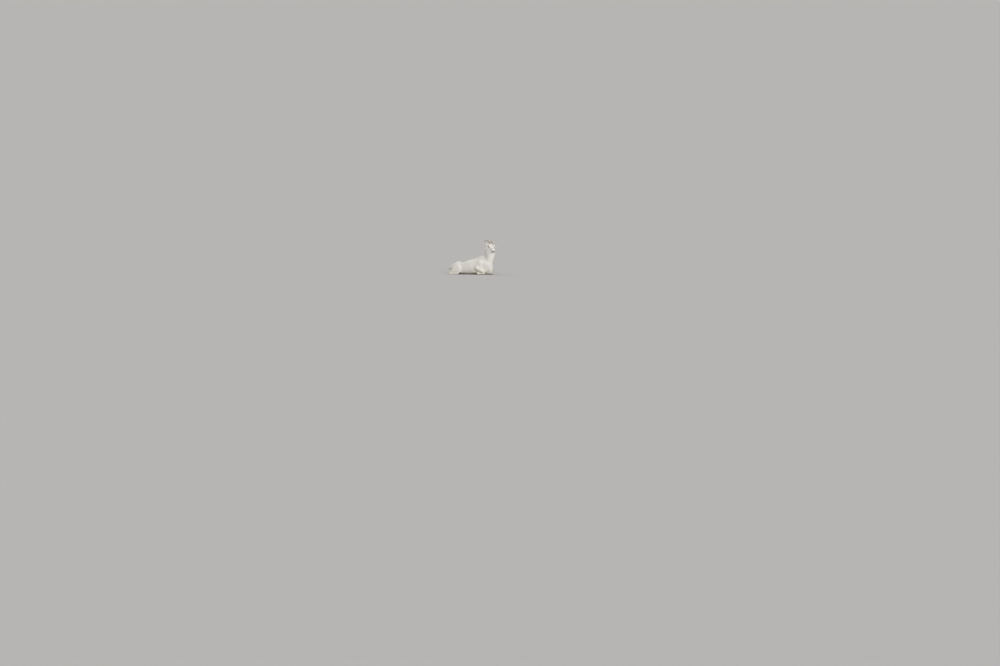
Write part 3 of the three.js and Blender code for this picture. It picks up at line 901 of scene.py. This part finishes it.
def coat_tree(templates, material):
    """Tufts on a skin: scattered, laid along the coat, realized, with their map and shade."""
    tree = bpy.data.node_groups.new("coat_tufts", "GeometryNodeTree")
    tree.is_modifier = True
    face = tree.interface
    face.new_socket("Skin", in_out="INPUT", socket_type="NodeSocketGeometry")
    for name, kind, default in (("Piece", "NodeSocketInt", 0), ("Seed", "NodeSocketInt", 7),
                                ("Length", "NodeSocketFloat", 1.0), ("Density", "NodeSocketFloat", 1.0),
                                ("Unruliness", "NodeSocketFloat", 0.2),
                                ("Hug", "NodeSocketFloat", 0.9), ("Patch", "NodeSocketFloat", 0.003)):
        face.new_socket(name, in_out="INPUT", socket_type=kind).default_value = default
    face.new_socket("Coat", in_out="OUTPUT", socket_type="NodeSocketGeometry")
    board = Board(tree)
    entry = board.add("NodeGroupInput").socket.node
    given = {s.name: Wire(board, s) for s in entry.outputs if s.name}
    chosen = board.add("ShaderNodeMath", {"operation": "COMPARE"},
                       {0: named(board, "coat_part", "INT"), 1: given["Piece"], 2: 0.1})
    points = board.add("GeometryNodeDistributePointsOnFaces", {"distribute_method": "RANDOM"}, {
        "Mesh": given["Skin"], "Selection": chosen, "Seed": given["Seed"],
        "Density": named(board, "coat_density") * given["Density"]}, "Points")
    normal = Wire(board, points.socket.node.outputs["Normal"])
    points = stored(board, points, "root", named(board, "OFBake", "FLOAT_VECTOR"), "FLOAT_VECTOR")
    points = stored(board, points, "shade", chance_value(board, 0.0, 1.0, 11))
    clumps = board.noise(board.add("GeometryNodeInputPosition"), 24.0, 2.0)
    wander = board.noise(board.add("GeometryNodeInputPosition"), 16.0, 2.0, "Color")
    wander = board.vector("SUBTRACT", wander, (0.5, 0.5, 0.5))
    stray = chance_value(board, (-0.5, -0.5, -0.5), (0.5, 0.5, 0.5), 12, "FLOAT_VECTOR")
    turn = board.scaled(board.vector("ADD", wander, stray), given["Unruliness"] * 2)
    lie = board.vector("ADD", named(board, "coat_lie", "FLOAT_VECTOR"), turn)
    rotation = board.add("FunctionNodeAxesToRotation", {"primary_axis": "Z", "secondary_axis": "X"},
                         {"Primary Axis": normal, "Secondary Axis": lie})
    variety = chance_value(board, 0.75, 1.15, 13) * (clumps * 0.3 + 0.85)
    length = named(board, "coat_length") * given["Length"] * variety
    width = named(board, "coat_width") * chance_value(board, 0.8, 1.2, 14)
    lift = named(board, "coat_lift") * chance_value(board, 0.85, 1.0, 15) * length
    scale = board.add("ShaderNodeCombineXYZ", sockets={0: length, 1: width, 2: lift})
    points = stored(board, points, "full_rise", lift)
    choices = board.add("GeometryNodeJoinGeometry")
    for template in templates:
        sockets = {"Object": template, "As Instance": True}
        shown = board.add("GeometryNodeObjectInfo", {}, sockets, "Geometry")
        board.put(choices.socket.node.inputs[0], shown)
    tufts = board.add("GeometryNodeInstanceOnPoints", {}, {
        "Points": points, "Instance": choices, "Pick Instance": True,
        "Instance Index": chance_value(board, 0, len(templates) - 1, 16, "INT"),
        "Rotation": rotation, "Scale": scale})
    solid = board.add("GeometryNodeRealizeInstances", {}, {"Geometry": tufts})
    solid = hug_skin(board, solid, given)
    floor_limit = board.vector("MAXIMUM", board.add("GeometryNodeInputPosition"), (-9, -9, COAT_FLOOR))
    solid = board.add("GeometryNodeSetPosition", {}, {"Geometry": solid, "Position": floor_limit})
    patch = board.scaled(named(board, "patch", "FLOAT_VECTOR"), given["Patch"])
    place = board.vector("ADD", named(board, "root", "FLOAT_VECTOR"), patch)
    place = board.vector("MINIMUM", board.vector("MAXIMUM", place, (0, 0, 0)), (1, 1, 1))
    solid = stored(board, solid, "OFBake", place, "FLOAT2", "CORNER")
    for spare in ("patch", "root", "rise", "full_rise"):
        solid = board.add("GeometryNodeRemoveAttribute", {}, {"Geometry": solid, "Name": spare})
    solid = board.add("GeometryNodeSetMaterial", {}, {"Geometry": solid, "Material": material})
    board.add("NodeGroupOutput", {}, {0: solid}, output=None)
    return tree


def hug_skin(board, solid, given):
    """Brings each vertex of the tufts to its own height over the skin, so that they follow its curves."""
    here = board.add("GeometryNodeInputPosition")

    def under(value):
        return board.add("GeometryNodeSampleNearestSurface", {"data_type": "FLOAT_VECTOR"},
                         {"Mesh": given["Skin"], "Value": value, "Sample Position": here}, "Value")

    below = under(here)
    outward = under(named(board, "form_normal", "FLOAT_VECTOR"))
    solid = stored(board, solid, "form_normal", outward, "FLOAT_VECTOR")
    height = named(board, "rise") * named(board, "full_rise")
    level = board.vector("ADD", below, board.scaled(outward, height))
    step = board.scaled(board.vector("SUBTRACT", level, here), given["Hug"])
    return board.add("GeometryNodeSetPosition", {}, {"Geometry": solid, "Offset": step})


def grow_coat(skin, tree, number, settings):
    """One coat piece as a plain mesh."""
    holder = skin.copy()
    holder.data = skin.data.copy()
    bpy.context.scene.collection.objects.link(holder)
    modifier = holder.modifiers.new("Tufts", "NODES")
    modifier.node_group = tree
    wanted = {"Piece": number, "Seed": 7 + number, "Length": settings.length,
              "Density": settings.density, "Unruliness": settings.unruliness, "Hug": settings.hug}
    for item in tree.interface.items_tree:
        if item.name in wanted:
            modifier[item.identifier] = wanted[item.name]
    graph = bpy.context.evaluated_depsgraph_get()
    mesh = bpy.data.meshes.new_from_object(holder.evaluated_get(graph))
    bpy.data.objects.remove(holder)
    form = numbers_of(mesh.attributes["form_normal"].data, "vector", 3)
    mesh.attributes.remove(mesh.attributes["form_normal"])
    shade_smooth(mesh)
    share = settings.form_shading
    leaning = unit(share * form + (1 - share) * normals_of(mesh))
    mesh.normals_split_custom_set_from_vertices(leaning.tolist())
    return mesh


# Eyes, horns and hooves


def make_eye(side, settings):
    outward = eye_axes(side)[0]
    upright = HEAD.turn.T @ np.array([0, 0, 1.0])
    upward = unit(upright - outward * (upright @ outward))
    forward = np.cross(upward, outward)
    points, faces = ball(np.zeros(3), 1.0, 40, 64)
    fore, high, out = points @ forward, points @ upward, points @ outward
    swell = 1 + 0.07 * smoothstep(0.72, 1.0, out)
    local = eye_centre(side, settings) + points * (settings.eye_radius * swell)[:, None]
    mesh = mesh_from("eye", HEAD.outside(local), faces)
    hidden = np.where(out > 0, 0, 1)
    store(mesh, "eye_forward", fore + hidden)
    store(mesh, "eye_upward", high + hidden)
    return mesh


def catmull(path, count):
    """Evenly numbered points on a smooth curve through a path."""
    path = np.array(path, float)
    ends = np.vstack([2 * path[0] - path[1], path, 2 * path[-1] - path[-2]])
    where = np.linspace(0, len(path) - 1 - 1e-6, count)
    i = where.astype(int)
    t = (where - i)[:, None]
    a, b, c, d = ends[i], ends[i + 1], ends[i + 2], ends[i + 3]
    return 0.5 * (2 * b + (c - a) * t + (2 * a - 5 * b + 4 * c - d) * t ** 2
                  + (3 * b - a - 3 * c + d) * t ** 3)


def make_horn(side, settings):
    """A tapering sheath with growth rings, on the horn's own path."""
    rows, sides = 150, 40
    curve = catmull([(x, side * y, z) for x, y, z in HORN_PATH], rows)
    tangent = unit(np.gradient(curve, axis=0))
    across = unit(np.cross(tangent, np.array([0.0, side * 0.4, 1.0])))
    other = np.cross(tangent, across)
    s = np.linspace(0, 1, rows)
    run = np.concatenate([[0], np.cumsum(np.linalg.norm(np.diff(curve, axis=0), axis=1))])
    uneven = 2.1 * np.sin(run / 23) + 1.3 * np.sin(run / 9.7) + 0.5 * np.sin(run / 3.1)
    ring = 0.5 + 0.5 * np.cos(2 * math.pi * run / settings.ring_pitch + uneven)
    strength = settings.ring_depth * (1 - smoothstep(0.55, 0.9, s))
    half = HORN_BASE_HALF + (HORN_TIP_HALF - HORN_BASE_HALF) * s
    rounded_end = np.sqrt(1 - 0.98 * np.clip((s - 0.93) / 0.07, 0, 1) ** 2)
    half = half * (1 - strength * (1 - ring ** 0.6)) * rounded_end
    angle = np.arange(sides) * 2 * math.pi / sides
    circle = (np.cos(angle)[None, :, None] * across[:, None, :] * HORN_FLATNESS
              + np.sin(angle)[None, :, None] * other[:, None, :])
    points = (curve[:, None, :] + circle * half[:, None, None]).reshape(-1, 3)
    points = np.vstack([points, curve[:1], curve[-1:]])
    faces = []
    last = (rows - 1) * sides
    for j in range(sides):
        k = (j + 1) % sides
        faces += [(start + j, start + k, start + sides + k, start + sides + j)
                  for start in range(0, last, sides)]
        faces += [(rows * sides, k, j), (rows * sides + 1, last + j, last + k)]
    mesh = mesh_from("horn", HEAD.outside(points), faces)
    face_outwards(mesh)
    store(mesh, "along", np.concatenate([np.repeat(s, sides), [0, 1]]))
    store(mesh, "ring", np.concatenate([np.repeat(ring, sides), [1, 1]]))
    return mesh


def make_hoof(name, settings):
    """A smoothed copy of a hoof with fine growth rings round its wall."""
    mesh = remeshed(name, [merged_copy(name)], settings.hoof_voxel * MM)
    spread = Spread(mesh)
    points = spread.fair(points_of(mesh), 10, np.ones(len(mesh.vertices)))
    set_points(mesh, points)
    low, high = points.min(axis=0), points.max(axis=0)
    along = (points[:, 0] - low[0]) / (high[0] - low[0])
    if name.startswith("fore"):
        along = 1 - along
    rings = np.sin(along * 2 * math.pi * settings.hoof_rings + 3 * points[:, 2] / (high[2] - low[2]))
    coronet = np.exp(-((along / 0.16) ** 2))
    bulge = 0.0016 * coronet + 0.00035 * rings * (1 - coronet)
    points = points + normals_of(mesh) * bulge[:, None]
    points[:, 2] = np.maximum(points[:, 2], 0.0)
    set_points(mesh, points)
    return mesh


# Settings


def length_property(name, text, default, low=0.0, high=1000.0):
    return bpy.props.FloatProperty(name=name, description=text + ", in millimetres", default=default,
                                   min=low, max=high)


def number_property(name, text, default):
    return bpy.props.FloatProperty(name=name, description=text, default=default)


def rounds_property(name, text, default):
    return bpy.props.IntProperty(name=name, description=text, default=default, min=0)


def colour_property(name, text, default):
    return bpy.props.FloatVectorProperty(name=name, description=text, default=default, size=3,
                                         min=0.0, max=1.0, subtype="COLOR")


class EweBody(bpy.types.PropertyGroup):
    """Sizes of the skin and the face."""
    voxel: length_property("Skin mesh", "Size of the skin's first faces", 6.5, 3, 20)
    body_fairing: rounds_property(
        "Body smoothing", "Rounds of smoothing over the trunk, neck and upper legs", 200)
    crease_rounds: rounds_property("Crease rounds", "Number of times that creases are filled", 7)
    crease_step: length_property("Crease step", "Most that a crease rises in one round", 8.0)
    fine_head: length_property("Head reach", "Distance from the head's axis that gets a fine mesh", 104)
    fine_features: length_property(
        "Feature reach", "Distance from each eye that gets the finest mesh", 34)
    eye_radius: length_property("Eye radius", "Radius of an eyeball, in a head of size 1", 15.3, 5, 30)
    eye_spread: length_property("Eye spread", "Half of the distance between the eyes", 54.5, 20, 90)
    lid_half_width: number_property(
        "Lid half width", "Half angle of the lids' opening, front to back", 58)
    lid_half_height: number_property(
        "Lid half height", "Half angle of the lids' opening, up and down", 38)
    ring_pitch: length_property("Horn ring pitch", "Distance between two growth rings of a horn", 9)
    ring_depth: number_property("Horn ring depth", "Depth of the rings as a share of the horn", 0.06)
    hoof_voxel: length_property("Hoof mesh", "Size of a hoof's faces", 1.6, 0.5, 5)
    hoof_rings: number_property("Hoof rings", "Number of growth rings on a hoof", 13)


class EweCoat(bpy.types.PropertyGroup):
    """Sizes of the coat."""
    length: number_property("Length", "Length of all tufts, as a share", 1.0)
    density: number_property("Density", "Number of tufts, as a share", 0.97)
    unruliness: number_property("Unruliness", "How far tufts stray from the lie of the coat", 0.13)
    hug: number_property("Hug", "How closely tufts follow the curves of the skin", 0.92)
    form_shading: number_property("Form shading", "How far tufts shade as the skin below them does", 0.72)


class EweColours(bpy.types.PropertyGroup):
    """Colours of all finishes."""
    white: colour_property("White", "Clean hair", (0.90, 0.885, 0.85))
    stained: colour_property("Stained", "Hair with dust and grass in it", (0.80, 0.755, 0.65))
    # Painted shade among the hair and under it, also used for faint random tone
    shadow: colour_property("Hair shade and tone", "Hair near the skin", (0.70, 0.67, 0.61))
    stain: number_property("Stain", "How much staining shows", 0.8)
    bare: colour_property("Bare skin", "Nose, lips and lid margins", (0.055, 0.049, 0.048))
    # Dark skin of the lids and nose, and painted shade of the nostrils' and mouth's openings
    dark: colour_property("Dark skin and opening shade", "Nostrils and the line of the mouth", (0.03, 0.022, 0.02))
    horn_base: colour_property("Horn base", "Horn near the head", (0.35, 0.26, 0.165))
    horn_tip: colour_property("Horn tip", "Horn near its end", (0.47, 0.39, 0.275))
    horn_pale: colour_property("Pale horn", "Worn patches of a horn", (0.50, 0.42, 0.31))
    horn_groove: colour_property("Horn groove", "Horn between its rings", (0.13, 0.085, 0.045))
    hoof: colour_property("Hoof", "Wall of a hoof", (0.055, 0.045, 0.038))
    hoof_worn: colour_property("Worn hoof", "Dust and wear on a hoof", (0.17, 0.145, 0.115))
    iris: colour_property("Iris", "Light part of the iris", (0.20, 0.105, 0.028))
    iris_dark: colour_property("Iris edge", "Dark part of the iris", (0.06, 0.03, 0.01))
    sclera: colour_property("White of the eye", "Eyeball beside the iris", (0.22, 0.17, 0.14))
    pupil: colour_property("Pupil", "Level slot of the pupil", (0.004, 0.004, 0.005))


class EweStage(bpy.types.PropertyGroup):
    """Camera, floor and light."""
    azimuth: bpy.props.FloatProperty(name="Azimuth", description="Camera's direction", subtype="ANGLE",
                                     default=math.radians(20))
    elevation: bpy.props.FloatProperty(name="Elevation", description="Camera above level", subtype="ANGLE",
                                       default=math.radians(2.5))
    pixel: length_property("Pixel", "What one pixel of the frame covers at the animal", 24)
    lens: length_property("Lens", "Focal length", 300)
    floor_radius: bpy.props.FloatProperty(name="Floor radius", description="Radius of the floor",
                                          default=3000.0, unit="LENGTH", max=5000.0)
    floor_colour: colour_property("Floor", "Pale floor", (0.493, 0.489, 0.486))
    sky: number_property("Room light", "Brightness of the room", 0.46)
    fill: number_property("Fill light", "Brightness of the light from behind", 1.3)
    key: number_property("Key light", "Brightness of the main light", 2.6)


GROUPS = {"ewe_body": EweBody, "ewe_coat": EweCoat, "ewe_colours": EweColours, "ewe_stage": EweStage}


# Operators


class EWE_OT_skin(bpy.types.Operator):
    """Make the skin in place of the flesh nodes"""
    bl_idname = "ewe.skin"
    bl_label = "Skin"

    def execute(self, context):
        mesh = make_skin(context.scene.ewe_body)
        skin = add_piece("skin", mesh, skin_material(context.scene.ewe_colours), FLESH)
        unwrap(skin)
        return {"FINISHED"}


class EWE_OT_coat(bpy.types.Operator):
    """Grow the tufts of hair over the skin"""
    bl_idname = "ewe.coat"
    bl_label = "Coat"

    def execute(self, context):
        material = coat_material(context.scene.ewe_colours)
        templates = [tuft_template(f"tuft_{n}", 40 + n) for n in range(3)]
        tree = coat_tree(templates, material)
        skin = bpy.data.objects["skin"]
        for number in range(COAT_PIECES):
            mesh = grow_coat(skin, tree, number, context.scene.ewe_coat)
            if not 1000 < len(mesh.polygons) < MOST_FACES:
                raise RuntimeError(f"coat piece {number} has {len(mesh.polygons)} faces")
            add_piece(f"coat_{number + 1}", mesh, material)
        for template in templates:
            bpy.data.objects.remove(template)
        return {"FINISHED"}


class EWE_OT_eyes(bpy.types.Operator):
    """Make both eyeballs"""
    bl_idname = "ewe.eyes"
    bl_label = "Eyes"

    def execute(self, context):
        material = eye_material(context.scene.ewe_colours)
        for name, side in SIDES.items():
            mesh = make_eye(side, context.scene.ewe_body)
            add_piece(f"eyeball_{name}", mesh, material, [f"eye_{name}"])
        return {"FINISHED"}


class EWE_OT_horns(bpy.types.Operator):
    """Make both horns with their rings"""
    bl_idname = "ewe.horns"
    bl_label = "Horns"

    def execute(self, context):
        material = horn_material(context.scene.ewe_colours)
        for name, side in SIDES.items():
            mesh = make_horn(side, context.scene.ewe_body)
            add_piece(f"horn_sheath_{name}", mesh, material, [f"horn_{name}"])
        return {"FINISHED"}


class EWE_OT_hooves(bpy.types.Operator):
    """Make the four hooves"""
    bl_idname = "ewe.hooves"
    bl_label = "Hooves"

    def execute(self, context):
        material = hoof_material(context.scene.ewe_colours)
        for name in HOOVES:
            mesh = make_hoof(name, context.scene.ewe_body)
            add_piece(f"{name}_wall", mesh, material, [name])
        return {"FINISHED"}


class EWE_OT_stage(bpy.types.Operator):
    """Lay the floor and set the light and the camera in the photo's framing"""
    bl_idname = "ewe.stage"
    bl_label = "Stage"

    def execute(self, context):
        settings = context.scene.ewe_stage
        lay_floor(settings)
        set_light(settings)
        set_camera(settings)
        return {"FINISHED"}


def lay_floor(settings):
    bm = bmesh.new()
    bmesh.ops.create_circle(bm, cap_ends=True, segments=96, radius=settings.floor_radius)
    mesh = bpy.data.meshes.new("floor")
    bm.to_mesh(mesh)
    bm.free()
    material, _, shader = new_material("floor_plain", {"Roughness": 0.95, "Specular IOR Level": 0.1})
    shader.inputs["Base Color"].default_value = rgba(settings.floor_colour)
    mesh.materials.append(material)
    floor = bpy.data.objects.new("floor", mesh)
    bpy.context.scene.collection.objects.link(floor)


def set_light(settings):
    world = bpy.data.worlds.new("room")
    world.use_nodes = True
    backdrop = next(n for n in world.node_tree.nodes if n.type == "BACKGROUND")
    backdrop.inputs["Color"].default_value = rgba(LIGHT_COLOUR)
    backdrop.inputs["Strength"].default_value = settings.sky
    bpy.context.scene.world = world
    for name, aim in LAMP_AIMS.items():
        lamp = bpy.data.lights.new(name, "SUN")
        lamp.energy = getattr(settings, name)
        lamp.angle = LAMP_WIDTH
        lamp.color = LIGHT_COLOUR
        light = bpy.data.objects.new(name, lamp)
        light.rotation_mode = "QUATERNION"
        light.rotation_quaternion = Vector(aim).to_track_quat("-Z", "Y")
        bpy.context.scene.collection.objects.link(light)
    bpy.context.scene.view_settings.view_transform = "Standard"


def set_camera(settings):
    """Places the animal on the frame's pixels as the photo does, seen from the photo's direction."""
    turn, rise = settings.azimuth, settings.elevation
    right = Vector((math.cos(turn), math.sin(turn), 0))
    back = Vector((math.sin(turn) * math.cos(rise), -math.cos(turn) * math.cos(rise), math.sin(rise)))
    up = back.cross(right)
    pixel = settings.pixel * MM
    data = bpy.data.cameras.new("camera")
    data.sensor_width = 36.0
    data.lens = settings.lens
    distance = settings.lens / data.sensor_width * PHOTO_SIZE[0] * pixel
    aside = (PHOTO_SIZE[0] / 2 - REFERENCE_PIXEL[0]) * pixel
    below = (PHOTO_SIZE[1] / 2 - REFERENCE_PIXEL[1]) * pixel
    target = Vector((REFERENCE[0], REFERENCE[1], 0)) + right * aside - up * below
    data.clip_start, data.clip_end = 1.0, 2 * settings.floor_radius
    camera = bpy.data.objects.new("camera", data)
    camera.rotation_mode = "QUATERNION"
    camera.location = target + back * distance
    camera.rotation_quaternion = (-back).to_track_quat("-Z", "Y")
    bpy.context.scene.collection.objects.link(camera)
    bpy.context.scene.camera = camera


class EWE_PT_panel(bpy.types.Panel):
    """Lists the pieces of the ewe"""
    bl_idname = "EWE_PT_panel"
    bl_label = "Bedded sheep ewe"
    bl_space_type = "VIEW_3D"
    bl_region_type = "UI"
    bl_category = "Ewe"

    def draw(self, context):
        for operator in OPERATORS:
            self.layout.operator(operator.bl_idname)
        for group, kind in GROUPS.items():
            box = self.layout.box()
            for name in kind.__annotations__:
                box.prop(getattr(context.scene, group), name)


OPERATORS = (EWE_OT_skin, EWE_OT_coat, EWE_OT_eyes, EWE_OT_horns, EWE_OT_hooves, EWE_OT_stage)
CLASSES = (*GROUPS.values(), *OPERATORS, EWE_PT_panel)


def register():
    for kind in CLASSES:
        bpy.utils.register_class(kind)
    for name, kind in GROUPS.items():
        setattr(bpy.types.Scene, name, bpy.props.PointerProperty(type=kind))


def unregister():
    for name in GROUPS:
        delattr(bpy.types.Scene, name)
    for kind in reversed(CLASSES):
        bpy.utils.unregister_class(kind)


def main():
    register()
    bpy.ops.ewe.skin()
    bpy.ops.ewe.coat()
    bpy.ops.ewe.eyes()
    bpy.ops.ewe.horns()
    bpy.ops.ewe.hooves()
    bpy.ops.ewe.stage()


if __name__ == "__main__":
    main()
